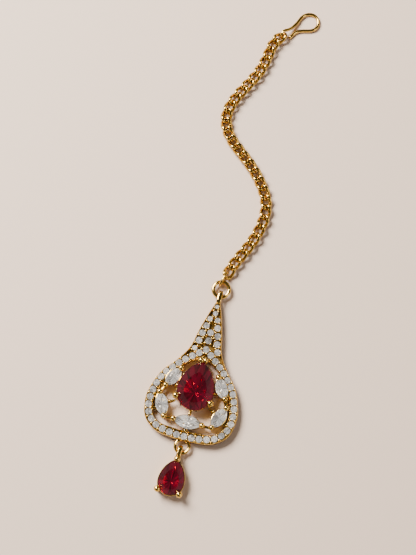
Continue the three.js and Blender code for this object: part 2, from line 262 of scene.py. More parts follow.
def metal_finish(name, bright, dull, roughness, bump):
    """Metal whose colour, roughness and height come from the worn metal group."""
    finish = bpy.data.materials.new(name)
    finish.use_nodes = True
    tree = finish.node_tree
    shader = tree.nodes["Principled BSDF"]
    shader.inputs["Metallic"].default_value = 1.0
    worn = tree.nodes.new("ShaderNodeGroup")
    worn.node_tree = WORN_METAL
    worn.inputs["Bright"].default_value = (*bright, 1.0)
    worn.inputs["Dull"].default_value = (*dull, 1.0)
    worn.inputs["Base Roughness"].default_value = roughness
    relief = add_node(tree, "ShaderNodeBump", {"Strength": bump, "Distance": 0.00004})
    tree.links.new(worn.outputs["Colour"], shader.inputs["Base Color"])
    tree.links.new(worn.outputs["Roughness"], shader.inputs["Roughness"])
    tree.links.new(worn.outputs["Height"], relief.inputs["Height"])
    tree.links.new(relief.outputs[0], shader.inputs["Normal"])
    return finish


gold = metal_finish("antique_gold", (0.74, 0.49, 0.12), (0.38, 0.22, 0.05), 0.10, 0.12)
# The darker gold is painted shade: it stands in for the shade down in the sunk floor and on the plate's
# walls.
shaded_recess_gold = metal_finish("shaded_recess_gold", (0.30, 0.17, 0.04), (0.10, 0.05, 0.015), 0.3, 0.5)

outer_loop = even_loop(whole_edge(OUTER_EDGE), 2 * HALF_STEPS)
inner_loop = even_loop(whole_edge(INNER_EDGE), 2 * HALF_STEPS)


def plate_body():
    """A ring of sections from the outer edge to the opening's. Along the neck the opening's point moves
    slowly, so that the sections fan out from it, and below the neck both edges run at an even pace."""
    share = np.linspace(0.0, 1.0, HALF_STEPS)
    slow = NECK_SPREAD * np.minimum(share / NECK_SHARE, 1.0)
    quick = np.clip((share - NECK_SHARE) / (1.0 - NECK_SHARE), 0.0, 1.0) * (1.0 - NECK_SPREAD)
    outer_right = at_shares(smooth_path(OUTER_EDGE), share)
    inner_right = at_shares(smooth_path(INNER_EDGE), slow + quick)
    mirror = [-1.0, 1.0]
    outer = np.vstack([outer_right, outer_right[-2::-1] * mirror])
    inner = np.vstack([inner_right, inner_right[-2:0:-1] * mirror, inner_right[1:2] * mirror])
    heights = [0.0, WALL_TOP, WALL_TOP, FLOOR, FLOOR, WALL_TOP, WALL_TOP, 0.0]
    wall = 2 * RIM["inset"]
    outward = inset(outer, wall)
    inward = inset(inner, -wall)
    edges = [outer, outer, outward, outward, inward, inward, inner, inner]
    rings = [raised(edge, height) for edge, height in zip(edges, heights)]
    return grid_skin(np.stack(rings, axis=1), True)


def rim(loop, distance):
    """A round-topped rim carried along an edge, a little inside the metal."""
    path = raised(inset(loop, distance), RIM["middle"])
    return carried(path, oval(RIM["half"], RIM["rise"], 12, RIM["square"]))


# The plate's body, its sunk floor and walls, takes the second finish, the darker gold of painted shade.
plate_skins = [
    marked(plate_body(), 1),
    rim(outer_loop, RIM["inset"]),
    rim(inner_loop, -RIM["inset"]),
]

# ---- Paving ----
# Small round brilliants in a row round the band and in staggered rows up the neck, in clear crystal with
# silvered backs whose facets glow as painted sparkle. Each is held by gold grains raised from the plate
# between it and the next stone.
# One stone and one grain are worked out, and copies of them are placed in one go.

BAND_STONES = 36
BAND_STONE = 0.79
STONE_Z = 1.95
GRAIN = 0.3
GRAIN_Z = 2.06
GRAIN_OUT = 0.62
GRAIN_SIDES = 10
NUDGE = 0.002

# A neck grain's middle is this share of its radius out from its stone. It is left out if it is nearer
# than these to the plate's edge or to a stone, lower than the foot, or within this many radii of another.
GRAIN_SEAT = 0.7
GRAIN_GAPS = {"edge": 0.4, "foot": -0.4, "stone": 0.03, "apart": 1.5}

# A small brilliant of radius 1: shares of its outline, then the heights of its table and its point.
ROUND_POINTS = 16
ROUND_CUT = {
    "table": 0.56, "crown": 0.8, "rise": 0.45, "sink": 0.5, "half_girdle": 0.03,
    "table_z": 0.42, "culet_z": -0.86,
}
BACK_SLOPE = 0.92

# A grain of radius 1: its width and height, from its foot up to its rounded top.
GRAIN_PROFILE = np.array([
    [0.8, -3.2], [0.8, -0.7], [0.97, -0.1], [0.95, 0.3], [0.72, 0.75], [0.38, 0.95],
])

# Right half of the line that the band's stones sit on.
BAND = np.array([
    [0.0, 0.67], [2.85, -1.6], [5.4, -3.85], [7.75, -6.45], [9.35, -9.4],
    [10.1, -12.9], [9.8, -16.6], [7.45, -19.5], [3.85, -20.6], [0.0, -20.85],
])

# Neck stones: x, y and radius.
NECK = np.array([
    [2.8, 0.65, 0.75], [-2.8, 0.45, 0.6],
    [2.25, 2.5, 0.78], [-2.25, 2.5, 0.78],
    [1.9, 4.45, 0.78], [-1.9, 4.45, 0.78],
    [1.4, 6.4, 0.75], [-1.4, 6.4, 0.75],
    [0.95, 8.25, 0.65], [-0.95, 8.25, 0.65],
    [0.0, 2.9, 0.78], [0.0, 4.9, 0.78], [0.0, 9.8, 0.6], [0.0, 11.5, 0.48],
])


def scattered(skin, places, sizes, turns=None):
    """Copies of a skin: each is scaled, turned about its upright axis and moved to its place."""
    points, groups = skin
    turns = np.zeros(len(places)) if turns is None else np.asarray(turns)
    cosine, sine = np.cos(turns)[:, None], np.sin(turns)[:, None]
    sized = points[None] * np.broadcast_to(np.asarray(sizes, float), len(places))[:, None, None]
    x = sized[..., 0] * cosine - sized[..., 1] * sine
    y = sized[..., 0] * sine + sized[..., 1] * cosine
    copies = np.stack([x, y, sized[..., 2]], axis=-1) + np.asarray(places)[:, None]
    steps = np.arange(len(places))[:, None, None] * len(points)
    moved = [((corners[None] + steps).reshape(-1, corners.shape[1]), mark) for corners, mark in groups]
    return copies.reshape(-1, 3), moved


def make_piece(name, skins, finishes, stands_for=(), crease=None):
    """One object from skins in millimetres: their points stacked, each skin's faces counted on from the
    points before it, and every shell turned to face outwards. With no crease angle it is cut flat."""
    points = np.vstack([skin[0] for skin in skins]) * MM
    starts = np.cumsum([0] + [len(skin[0]) for skin in skins])
    groups = [(corners + start, mark) for skin, start in zip(skins, starts) for corners, mark in skin[1]]
    faces = [face for corners, _ in groups for face in corners.tolist()]
    marks = np.concatenate([np.full(len(corners), mark) for corners, mark in groups])
    mesh = bpy.data.meshes.new(name)
    mesh.from_pydata(points.tolist(), [], faces)
    for finish in finishes:
        mesh.materials.append(finish)
    mesh.polygons.foreach_set("material_index", marks.astype(np.int32))
    shell = bmesh.new()
    shell.from_mesh(mesh)
    bmesh.ops.recalc_face_normals(shell, faces=shell.faces)
    shell.to_mesh(mesh)
    shell.free()
    mesh.polygons.foreach_set("use_smooth", np.full(len(mesh.polygons), crease is not None))
    if crease is not None:
        mesh.set_sharp_from_angle(angle=np.radians(crease))
    made = bpy.data.objects.new(name, mesh)
    bpy.context.scene.collection.objects.link(made)
    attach(made, "root")
    if stands_for:
        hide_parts(*stands_for)
    return made


def cut_stone(girdle, table, crown, rise, sink, half_girdle, table_z, culet_z):
    """A brilliant cut over an outline. The outline's points are the girdle's. Every second one, drawn in
    by the table's share, is a table corner, and the others, drawn in by the crown's share, are the tips of
    the star facets. The back has one ring of tips, drawn in by the sink's share, and ends in a point."""
    corners, tips = girdle[0::2], girdle[1::2]
    n = len(corners)
    rings = [
        raised(corners * table, table_z),
        raised(tips * crown, half_girdle + (table_z - half_girdle) * rise),
        raised(girdle, half_girdle),
        raised(girdle, -half_girdle),
        raised(tips * sink, culet_z * (1.0 - sink * BACK_SLOPE)),
        np.array([[0.0, 0.0, culet_z]]),
    ]
    k = np.arange(n)
    after = (k + 1) % n
    before = (k - 1) % n
    top, star, upper, lower, back, culet = k, n + k, 2 * n, 4 * n, 6 * n + k, np.full(n, 7 * n)
    even, odd, following = 2 * k, 2 * k + 1, 2 * after
    j = np.arange(2 * n)
    beyond = (j + 1) % (2 * n)
    crown_faces = np.vstack([
        np.column_stack([top, top[after], star]),
        np.column_stack([top, star[before], upper + even]),
        np.column_stack([top, upper + even, star]),
        np.column_stack([star, upper + even, upper + odd]),
        np.column_stack([star, upper + odd, upper + following]),
    ])
    belt = np.column_stack([upper + j, lower + j, lower + beyond, upper + beyond])
    back_faces = np.vstack([
        np.column_stack([back, lower + odd, lower + even]),
        np.column_stack([back, lower + following, lower + odd]),
        np.column_stack([culet, back[before], lower + even]),
        np.column_stack([culet, lower + even, back]),
    ])
    return np.vstack(rings), [(top[None], 0), (crown_faces, 0), (belt, 0), (back_faces, 1)]


def circle(count):
    """Points at equal angles round a circle of radius 1."""
    angle = np.arange(count) * 2 * np.pi / count
    return np.column_stack([np.cos(angle), np.sin(angle)])


def stone_finish_group():
    """Slight cloudiness inside a cut stone, faint polishing marks on its facets, from two noises, and a
    painted glow that differs from facet to facet, from the piece's facet attribute, standing in for sparkle."""
    group = bpy.data.node_groups.new("polished stone", "ShaderNodeTree")
    group.interface.new_socket(name="Clear", in_out="INPUT", socket_type="NodeSocketColor")
    group.interface.new_socket(name="Deep", in_out="INPUT", socket_type="NodeSocketColor")
    group.interface.new_socket(name="Colour", in_out="OUTPUT", socket_type="NodeSocketColor")
    group.interface.new_socket(name="Roughness", in_out="OUTPUT", socket_type="NodeSocketFloat")
    group.interface.new_socket(name="Painted Facet Glow", in_out="OUTPUT", socket_type="NodeSocketColor")
    given = group.nodes.new("NodeGroupInput")
    result = group.nodes.new("NodeGroupOutput")
    place = group.nodes.new("ShaderNodeTexCoord").outputs["Object"]
    facet = add_node(group, "ShaderNodeAttribute", attribute_name="facet")
    light = blend_colours(group, facet.outputs["Fac"], given.outputs["Deep"], given.outputs["Clear"])
    group.links.new(light, result.inputs["Painted Facet Glow"])
    cloud = add_node(group, "ShaderNodeTexNoise", {"Scale": 350.0, "Detail": 2.0})
    polish = add_node(group, "ShaderNodeTexNoise", {"Scale": 3000.0, "Detail": 3.0})
    group.links.new(place, cloud.inputs["Vector"])
    group.links.new(place, polish.inputs["Vector"])
    share = add_node(group, "ShaderNodeMapRange", {"From Min": 0.35, "From Max": 0.65})
    group.links.new(cloud.outputs[0], share.inputs[0])
    colour = blend_colours(group, share.outputs[0], given.outputs["Clear"], given.outputs["Deep"])
    group.links.new(colour, result.inputs["Colour"])
    marks = add_node(group, "ShaderNodeMapRange", {"From Min": 0.3, "From Max": 0.8, "To Max": 0.05})
    group.links.new(polish.outputs[0], marks.inputs[0])
    group.links.new(marks.outputs[0], result.inputs["Roughness"])
    return group


POLISHED_STONE = stone_finish_group()


def stone_finish(name, clear, deep, **constants):
    """A shader whose colour and roughness come from the polished stone group, with the facets' painted glow,
    standing in for sparkle, where it is given an emission strength."""
    finish = bpy.data.materials.new(name)
    finish.use_nodes = True
    tree = finish.node_tree
    shader = tree.nodes["Principled BSDF"]
    for key, value in constants.items():
        shader.inputs[key.replace("_", " ")].default_value = value
    polished = tree.nodes.new("ShaderNodeGroup")
    polished.node_tree = POLISHED_STONE
    polished.inputs["Clear"].default_value = (*clear, 1.0)
    polished.inputs["Deep"].default_value = (*deep, 1.0)
    tree.links.new(polished.outputs["Colour"], shader.inputs["Base Color"])
    tree.links.new(polished.outputs["Roughness"], shader.inputs["Roughness"])
    # Where an emission strength is given, the facets glow by their numbers: painted sparkle, not a lamp.
    if "Emission_Strength" in constants:
        tree.links.new(polished.outputs["Painted Facet Glow"], shader.inputs["Emission Color"])
    return finish


def number_facets(made, seed):
    """Gives every facet of a stone a number between 0 and 1 of its own, which sets how bright its painted
    glow is.
    """
    numbers = np.random.default_rng(seed).random(len(made.data.polygons))
    facet = made.data.attributes.new("facet", "FLOAT", "FACE")
    facet.data.foreach_set("value", numbers.astype(np.float32))


crystal = stone_finish(
    "clear_crystal", (0.97, 0.96, 0.95), (0.90, 0.89, 0.88), Transmission_Weight=1.0, IOR=1.9
)
# The silvered back also glows, each facet between its two colours by the facet's number: painted sparkle.
silvered = stone_finish(
    "silvered_back_painted_glow", (1.0, 0.95, 0.89), (0.10, 0.09, 0.08), Metallic=1.0, Emission_Strength=0.85
)

band_path = whole_edge(BAND)
band_places = even_loop(band_path, BAND_STONES)
band_ahead = np.roll(band_places, -1, axis=0) - np.roll(band_places, 1, axis=0)
band_turns = np.arctan2(band_ahead[:, 1], band_ahead[:, 0])
stone_places = np.vstack([raised(band_places, STONE_Z), raised(NECK[:, :2], STONE_Z)])
stone_sizes = np.concatenate([np.full(BAND_STONES, BAND_STONE), NECK[:, 2]])
stone_turns = np.concatenate([band_turns, np.zeros(len(NECK))])
small_brilliant = cut_stone(circle(ROUND_POINTS), **ROUND_CUT)
paving = [scattered(small_brilliant, stone_places, stone_sizes, stone_turns)]
number_facets(make_piece("paving_stones", paving, [crystal, silvered]), seed=11)


def band_grains():
    """Two grains between each pair of stones on the band, to its left and to its right."""
    shares = (np.arange(BAND_STONES) + 0.5) / BAND_STONES
    loop = np.vstack([band_path, band_path[:1]])
    middles = at_shares(loop, shares)
    ahead = at_shares(loop, shares + NUDGE) - at_shares(loop, shares - NUDGE)
    ahead = ahead / np.linalg.norm(ahead, axis=1, keepdims=True)
    across = np.column_stack([-ahead[:, 1], ahead[:, 0]]) * GRAIN_OUT
    return np.vstack([middles + across, middles - across])


def neck_grains():
    """Four grains round each neck stone, without those that fall on a stone, off the plate or on another."""
    angles = np.radians([45.0, 135.0, 225.0, 315.0])
    reach = NECK[:, 2, None] + GRAIN * GRAIN_SEAT
    x = NECK[:, 0, None] + reach * np.cos(angles)
    y = NECK[:, 1, None] + reach * np.sin(angles)
    spots = np.column_stack([x.ravel(), y.ravel()])
    stones = stone_places[:, :2]
    gaps = np.linalg.norm(spots[:, None] - stones[None], axis=2) - stone_sizes[None]
    edge = np.linalg.norm(spots[:, None] - outer_loop[None], axis=2).min(axis=1)
    half_width = np.interp(spots[:, 1], OUTER_EDGE[::-1, 1], OUTER_EDGE[::-1, 0])
    inside = (np.abs(spots[:, 0]) < half_width) & (edge > GRAIN_GAPS["edge"])
    inside = inside & (spots[:, 1] > GRAIN_GAPS["foot"])
    spots = spots[inside & (gaps.min(axis=1) > GRAIN_GAPS["stone"])]
    apart = np.linalg.norm(spots[:, None] - spots[None], axis=2)
    earlier = np.tril(apart < GRAIN_GAPS["apart"] * GRAIN, k=-1).any(axis=1)
    return spots[~earlier]


def grain():
    """A raised grain of radius 1: a short stem under a round head."""
    widths, heights = GRAIN_PROFILE.T
    rings = circle(GRAIN_SIDES)[None] * widths[:, None, None]
    tall = np.broadcast_to(heights[:, None, None], (len(heights), GRAIN_SIDES, 1))
    tips = np.array([[0.0, 0.0, heights[0]], [0.0, 0.0, 1.0]])
    return grid_skin(np.concatenate([rings, tall], axis=-1), False, tips)


grain_places = raised(np.vstack([band_grains(), neck_grains()]), GRAIN_Z)
grain_sizes = np.full(len(grain_places), GRAIN)
plate_skins.append(scattered(grain(), grain_places, grain_sizes))

# ---- Centre setting ----
# The pear stone's basket: an upper rail round its girdle, a smaller lower rail on the back and thin
# uprights between them. A tapered claw ties it to the plate, and four posts with round heads hold it.
# Rails are sections carried along pear outlines, and posts and uprights are round bars.

BASKET = {"wall": 0.45, "spread": 0.0, "rail": 0.8, "top": 3.1, "lean": 0.75, "upright": 0.26}
CENTRE_POINT = 7.7
CENTRE_RADIUS = 4.4
CENTRE_HEADS = np.array([
    [-0.42, -2.45, 3.75], [0.62, -2.3, 3.6], [4.2, -12.05, 3.75], [-4.2, -12.05, 3.75],
])
CENTRE_HEAD_SIZES = [0.76, 0.66, 0.84, 0.84]
POST = 0.45
CLAW = {"y": -1.5, "tip": 0.55, "foot": 1.05, "top": 2.5, "cap": [0.85, 0.5]}

# A wall spread out by one millimetre has its point this much further out.
POINT_REACH = 1.6

# Points along each part's outline, and the share of upright above which a bar counts as steep.
CLAW_RINGS = 12
CLAW_SIDES = 24
SIDE_STEPS = 60
BOWL_STEPS = 80
WALL_STEPS = 96
RAIL_POINTS = 24
STEEP = 0.9
WALL_SQUARE = 0.45

centre_low, centre_high = (np.array(corner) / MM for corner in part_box("centre_stone"))
CENTRE_Y = centre_high[1] - CENTRE_POINT


def ball(rows, columns):
    """A ball of radius 1: circles between its two poles, as wide as the sine of the angle from the top and
    as high as its cosine."""
    angle = np.linspace(0.0, np.pi, rows + 2)[1:-1]
    rings = circle(columns)[None] * np.sin(angle)[:, None, None]
    heights = np.broadcast_to(np.cos(angle)[:, None, None], (rows, columns, 1))
    tips = np.array([[0.0, 0.0, 1.0], [0.0, 0.0, -1.0]])
    return grid_skin(np.concatenate([rings, heights], axis=-1), False, tips)


def pear(radius, point, count):
    """A pear outline from its point down its left side and back up its right: a half circle below, and on
    each side an arc of the radius that runs from the half circle's end to the point."""
    side = (radius**2 + point**2) / (2 * radius)
    reach = np.arctan2(point, side - radius)
    arc = np.linspace(reach, 0.0, SIDE_STEPS)
    left = np.column_stack([side - radius - side * np.cos(arc), side * np.sin(arc)])
    round_end = np.linspace(np.pi, 2 * np.pi, BOWL_STEPS)
    bowl = np.column_stack([radius * np.cos(round_end), radius * np.sin(round_end)])
    right = left[::-1] * [-1.0, 1.0]
    return even_loop(np.vstack([left, bowl[1:-1], right[:-1]]), count)


def pear_wall(radius, point, spread, wall, low, high, y):
    """A wall with soft edges, carried round a pear that is spread out from the stone's own outline."""
    out = spread - wall / 2
    outline = pear(radius + out, point + POINT_REACH * out, WALL_STEPS)
    path = raised(outline + [0.0, y], (low + high) / 2)
    return carried(path, oval(wall / 2, (high - low) / 2, 16, WALL_SQUARE))


def bar(start, end, radius, sides=12):
    """A round bar between two points, with flat ends."""
    start, end = np.asarray(start, float), np.asarray(end, float)
    steep = abs(end[2] - start[2]) >= np.linalg.norm(end - start) * STEEP
    upright = (1.0, 0.0, 0.0) if steep else (0.0, 0.0, 1.0)
    path = np.linspace(start, end, 3)
    return carried(path, oval(radius, radius, sides), upright, closed=False)


def headed_posts(places, sizes, post=POST):
    """Round heads, and under each a post down to the back."""
    heads = scattered(ball(17, 28), places, sizes)
    posts = [bar((x, y, 0.0), (x, y, z), post, 16) for x, y, z in places]
    return [heads, *posts]


def centre_basket():
    """Both rails, and uprights from the lower rail's middle to the upper rail's."""
    wall, rail, top, lean = (BASKET[key] for key in ("wall", "rail", "top", "lean"))
    shape = (CENTRE_RADIUS, CENTRE_POINT)
    upper = pear_wall(*shape, BASKET["spread"], wall, top - rail, top, CENTRE_Y)
    lower = pear_wall(*shape, -lean, wall, 0.0, rail, CENTRE_Y)
    inset_by = lean + wall / 2
    feet = pear(CENTRE_RADIUS - inset_by, CENTRE_POINT - POINT_REACH * inset_by, RAIL_POINTS)[1::3]
    heads = pear(CENTRE_RADIUS, CENTRE_POINT, RAIL_POINTS)[1::3]
    shift = [0.0, CENTRE_Y]
    feet = raised(feet + shift, rail / 2)
    heads = raised(heads + shift, top - rail / 2)
    return [upper, lower] + [bar(a, b, BASKET["upright"]) for a, b in zip(feet, heads)]


def tapered_claw():
    """A cone frustum with a rounded top, wider at the back of the plate."""
    share = np.linspace(0.0, 1.0, CLAW_RINGS)
    width = CLAW["foot"] + (CLAW["tip"] - CLAW["foot"]) * share
    width[-2:] *= CLAW["cap"]
    rings = circle(CLAW_SIDES)[None] * width[:, None, None] + [0.0, CLAW["y"]]
    tall = np.broadcast_to((CLAW["top"] * share)[:, None, None], (CLAW_RINGS, CLAW_SIDES, 1))
    return grid_skin(np.concatenate([rings, tall], axis=-1), False)


frame_skins = plate_skins + centre_basket() + [tapered_claw()]
frame_skins += headed_posts(CENTRE_HEADS, CENTRE_HEAD_SIZES)

# ---- Centre stone ----
# A pear brilliant of deep red glass, twelve by nine millimetres, silvered red on its back, and the back's
# facets glow faintly red as painted sparkle.
# It is cut over the pear outline, with its flat table up.

ruby = stone_finish(
    "ruby_glass", (0.60, 0.05, 0.13), (0.46, 0.025, 0.09), Transmission_Weight=1.0, IOR=1.76
)
# The red back glows faintly, each facet between its two reds by its number: painted sparkle, which keeps the
# stone from going black.
ruby_back_painted_glow = stone_finish(
    "ruby_back_painted_glow", (0.58, 0.025, 0.14), (0.08, 0.004, 0.02), Metallic=1.0, Emission_Strength=0.35
)
PEAR_CUT = {"table": 0.62, "crown": 0.84, "rise": 0.42, "sink": 0.5, "half_girdle": 0.1}


def pear_stone(radius, point, facets, girdle, low, high):
    """A pear brilliant about the middle of its round end, with its girdle at height nought."""
    outline = pear(radius, point, facets)
    return cut_stone(outline, table_z=high - girdle, culet_z=low - girdle, **PEAR_CUT)


CENTRE_GIRDLE = 3.4
CENTRE_FACETS = 28
centre_shape = pear_stone(
    CENTRE_RADIUS, CENTRE_POINT, CENTRE_FACETS, CENTRE_GIRDLE, centre_low[2], centre_high[2]
)
centre_skin = scattered(centre_shape, [[0.0, CENTRE_Y, CENTRE_GIRDLE]], 1.0)
centre = make_piece("centre_pear_stone", [centre_skin], [ruby, ruby_back_painted_glow], ["centre_stone"])
number_facets(centre, seed=5)

# ---- Marquise stones and their settings ----
# Five marquise brilliants of clear crystal round the centre stone, each in a thin bezel wall with a
# round-headed post over both its points. Short bars and small balls solder the settings together.
# One setting is worked out for each size, then turned and moved to its stone.

# The long axis is turned from +Y, counterclockwise, in degrees.
MARQUISES = {
    "marquise_bottom": {"turn": 90.0, "half": 3.5, "width": 1.65},
    "marquise_lower_right": {"turn": -23.1, "half": 2.93, "width": 1.55},
    "marquise_lower_left": {"turn": 23.1, "half": 2.93, "width": 1.55},
    "marquise_upper_right": {"turn": 29.0, "half": 2.75, "width": 1.5},
    "marquise_upper_left": {"turn": -29.0, "half": 2.75, "width": 1.5},
}
MARQUISE_GIRDLE = 2.35
MARQUISE_CUT = {"table": 0.58, "crown": 0.82, "rise": 0.45, "sink": 0.5, "half_girdle": 0.07}
MARQUISE_FACETS = 20
BEZEL = {"wall": 0.24, "spread": 0.1, "low": 0.25, "high": 2.34, "square": 0.4}
BEZEL_STEPS = 64
TIP_HEAD = {"radius": 0.7, "z": 2.6, "post": 0.42}

# Bars on the right: both ends' x and y, the radius and the height. Their mirror images are on the left.
BARS = [
    ([3.5, -17.4], [5.85, -17.35], 0.36, 1.5),
    ([7.2, -9.95], [8.15, -11.95], 0.4, 1.6),
    ([8.1, -15.6], [9.2, -16.1], 0.45, 1.4),
    ([4.1, -12.9], [6.0, -14.1], 0.33, 1.7),
    ([4.0, -9.2], [5.2, -9.5], 0.33, 1.9),
    ([4.65, -5.35], [5.7, -4.8], 0.45, 1.5),
]
MIDDLE_BARS = [
    ([0.0, -14.5], [0.0, -16.2], 0.36, 1.7),
    ([0.0, -18.8], [0.0, -20.0], 0.5, 1.4),
]

# Small balls on the bars: x, y and height.
SPACERS = np.array([
    [5.35, -13.5, 2.1], [4.6, -9.4, 2.3], [-5.35, -13.5, 2.1], [-4.6, -9.4, 2.3], [0.0, -15.35, 2.1],
])
SPACER_SIZES = [0.42, 0.34, 0.42, 0.34, 0.45]


def marquise(half, width, count):
    """A marquise outline from its upper point round its left side: two equal arcs through both points."""
    arc = (half**2 + width**2) / (2 * width)
    reach = np.arcsin(half / arc)
    angle = np.linspace(reach, -reach, SIDE_STEPS)
    left = np.column_stack([arc - width - arc * np.cos(angle), arc * np.sin(angle)])
    right = left[::-1] * [-1.0, 1.0]
    return even_loop(np.vstack([left, right[1:-1]]), count)


def marquise_parts(name, turn, half, width):
    """The stone and its setting, turned and moved to the middle of the stone's box in the frame."""
    low, high = (np.array(corner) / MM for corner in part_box(name))
    middle = (low + high) / 2
    girdle = marquise(half, width, MARQUISE_FACETS)
    stone = cut_stone(
        girdle, table_z=high[2] - MARQUISE_GIRDLE, culet_z=low[2] - MARQUISE_GIRDLE, **MARQUISE_CUT
    )
    turn = np.radians([turn])
    stone = scattered(stone, [[middle[0], middle[1], MARQUISE_GIRDLE]], 1.0, turn)
    out = BEZEL["spread"] - BEZEL["wall"] / 2
    wall_line = marquise(half + POINT_REACH * out, width + out, BEZEL_STEPS)
    wall_path = raised(wall_line, (BEZEL["low"] + BEZEL["high"]) / 2)
    wall_half = (BEZEL["high"] - BEZEL["low"]) / 2
    wall = carried(wall_path, oval(BEZEL["wall"] / 2, wall_half, 16, BEZEL["square"]))
    tips = np.array([[0.0, half, TIP_HEAD["z"]], [0.0, -half, TIP_HEAD["z"]]])
    setting = [wall, *headed_posts(tips, [TIP_HEAD["radius"]] * 2, TIP_HEAD["post"])]
    ground = [[middle[0], middle[1], 0.0]]
    return stone, [scattered(skin, ground, 1.0, turn) for skin in setting]


for stone_name, shape in MARQUISES.items():
    stone_skin, setting_skins = marquise_parts(stone_name, **shape)
    made = make_piece(stone_name + "_stone", [stone_skin], [crystal, silvered], [stone_name])
    number_facets(made, seed=23)
    frame_skins += setting_skins

for start, end, radius, height in BARS + MIDDLE_BARS:
    sides = (1.0,) if start[0] == 0.0 else (1.0, -1.0)
    for side in sides:
        near_end = (side * start[0], start[1], height)
        far_end = (side * end[0], end[1], height)
        frame_skins.append(bar(near_end, far_end, radius))
frame_skins.append(scattered(ball(11, 18), SPACERS, SPACER_SIZES))

# ---- Bail and lower ring ----
# A long loop of flat strap soldered on edge to the tip of the neck, and a round wire ring soldered under
# the bottom of the plate. Both are sections carried round their loops, and belong to the frame.

BAIL = {"y": 14.0, "z": 1.2, "length": 3.7, "height": 2.4, "thick": 0.6, "width": 1.15}
STRAP_SQUARE = 0.7
LOWER_RING = {"x": 0.15, "y": -23.1, "z": 1.15, "radius": 1.63, "wire": 0.41}


def strap_loop(y, z, length, height, thick, width):
    """A strap with soft edges, carried round a slot that stands on edge in the plane where x is nought:
    two half circles joined by straight sides."""
    radius = (height - thick) / 2
    straight = (length - height) / 2
    angle = np.linspace(-np.pi / 2, np.pi / 2, 24)
    far = np.column_stack([straight + radius * np.cos(angle), radius * np.sin(angle)])
    near = -far
    slot = even_loop(np.vstack([far, near]), 72)
    path = np.column_stack([np.zeros(len(slot)), slot[:, 0] + y, slot[:, 1] + z])
    return carried(path, oval(thick / 2, width / 2, 16, STRAP_SQUARE), upright=(1.0, 0.0, 0.0))


def wire_ring(x, y, z, radius, wire, steps=72):
    """A round wire ring lying level."""
    path = raised(circle(steps) * radius + [x, y], z)
    return carried(path, oval(wire, wire, 16))


frame_skins += [strap_loop(**BAIL), wire_ring(**LOWER_RING)]
make_piece("pendant_goldwork", frame_skins, [gold, shaded_recess_gold], ["pendant_frame"], crease=40)

# ---- Chain ring ----
# A plain round jump ring of gold wire that joins the bail to the chain. It lies level, and its middle and
# radius come from its box in the frame.

RING_WIRE = 0.47
ring_low, ring_high = (np.array(corner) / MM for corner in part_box("chain_ring"))
ring_middle = (ring_low + ring_high) / 2
ring_radius = (ring_high[0] - ring_low[0]) / 2 - RING_WIRE
ring_skin = wire_ring(*ring_middle, ring_radius, RING_WIRE)
make_piece("jump_ring", [ring_skin], [gold], ["chain_ring"], crease=40)

# ---- Chain ----
# A curb chain of soldered oval links in darker antique gold. Each link is a closed wire twisted so that
# it lies flat in the next ones. The first link stands on edge in the jump ring, and the hook is turned
# through the last. One link is worked out, and its copies are turned along the chain's route.

chain_gold = metal_finish("chain_gold", (0.58, 0.37, 0.08), (0.22, 0.12, 0.025), 0.12, 0.18)

CHAIN_ROUTE = np.array([
    [0.45, 18.95], [0.65, 21.0], [1.75, 24.0], [3.15, 27.0], [4.4, 30.0], [5.25, 33.0],
    [5.7, 36.2], [5.4, 39.6], [4.1, 42.8], [1.6, 46.3], [-1.3, 49.3], [-4.0, 51.6],
    [-6.7, 54.0], [-8.8, 56.8], [-9.75, 60.0], [-9.4, 63.3], [-8.0, 66.8], [-6.35, 70.0],
    [-4.75, 73.4], [-3.75, 77.0], [-3.25, 80.3], [-2.75, 82.2], [-1.75, 83.95], [-0.54, 85.25],
])
LINK = {"count": 29, "wire": 0.43, "width": 3.0, "slack": 0.05, "rise": 0.6}
CHAIN_Z = 1.05
FIRST_LINK_FROM = 2.1
LAST_LINK_BACK = 1.7
EDGE_WIRE = 0.3
LINK_STEPS = 48
EDGE_STEPS = 44
LINK_NUDGE = 0.01
FIRST_LINK = {"x": -0.21, "y": 18.84, "z": 1.4, "half_long": 1.9, "half_high": 1.1, "turn": -14.0}


def link_wire(half_long, half_wide, rise, wire):
    """A closed twisted wire: forwards half its length times the cosine, sideways half its width times the
    sine, and down its rise times the sine of twice the angle, so that its front is high on the right."""
    angle = np.arange(LINK_STEPS) * 2 * np.pi / LINK_STEPS
    forwards = half_long * np.cos(angle)
    sideways = half_wide * np.sin(angle)
    path = np.column_stack([forwards, sideways, -rise * np.sin(2 * angle)])
    return carried(path, oval(wire, wire, 14))


chain_path = smooth_path(CHAIN_ROUTE)
chain_length = np.linalg.norm(np.diff(chain_path, axis=0), axis=1).sum()
link_centres = np.linspace(FIRST_LINK_FROM, chain_length - LAST_LINK_BACK, LINK["count"]) / chain_length
link_pitch = (link_centres[1] - link_centres[0]) * chain_length
link_places = raised(at_shares(chain_path, link_centres), CHAIN_Z)
link_ahead = at_shares(chain_path, link_centres + LINK_NUDGE)
link_ahead = link_ahead - at_shares(chain_path, link_centres - LINK_NUDGE)
link_turns = np.arctan2(link_ahead[:, 1], link_ahead[:, 0])
link_half_wide = LINK["width"] / 2 - LINK["wire"]
curb_link = link_wire(
    (link_pitch + LINK["slack"]) / 2 + LINK["wire"],
    link_half_wide,
    LINK["rise"],
    LINK["wire"],
)
chain_skins = [scattered(curb_link, link_places, 1.0, link_turns)]


def edge_link(x, y, z, half_long, half_high, turn):
    """A flat oval link standing on edge."""
    angle = np.arange(EDGE_STEPS) * 2 * np.pi / EDGE_STEPS
    path = np.column_stack([0.0 * angle, half_long * np.cos(angle), half_high * np.sin(angle)])
    skin = carried(path, oval(EDGE_WIRE, EDGE_WIRE, 14), upright=(1.0, 0.0, 0.0))
    return scattered(skin, [[x, y, z]], 1.0, np.radians([turn]))


chain_skins.append(edge_link(**FIRST_LINK))
make_piece("curb_chain", chain_skins, [chain_gold], ["chain"], crease=50)

# ---- Hook ----
# A hair hook of round gold wire, bent into an eye at its far end and turned down through the last link.
# The wire's round section is carried along its route, and narrows to a round end at both ends.

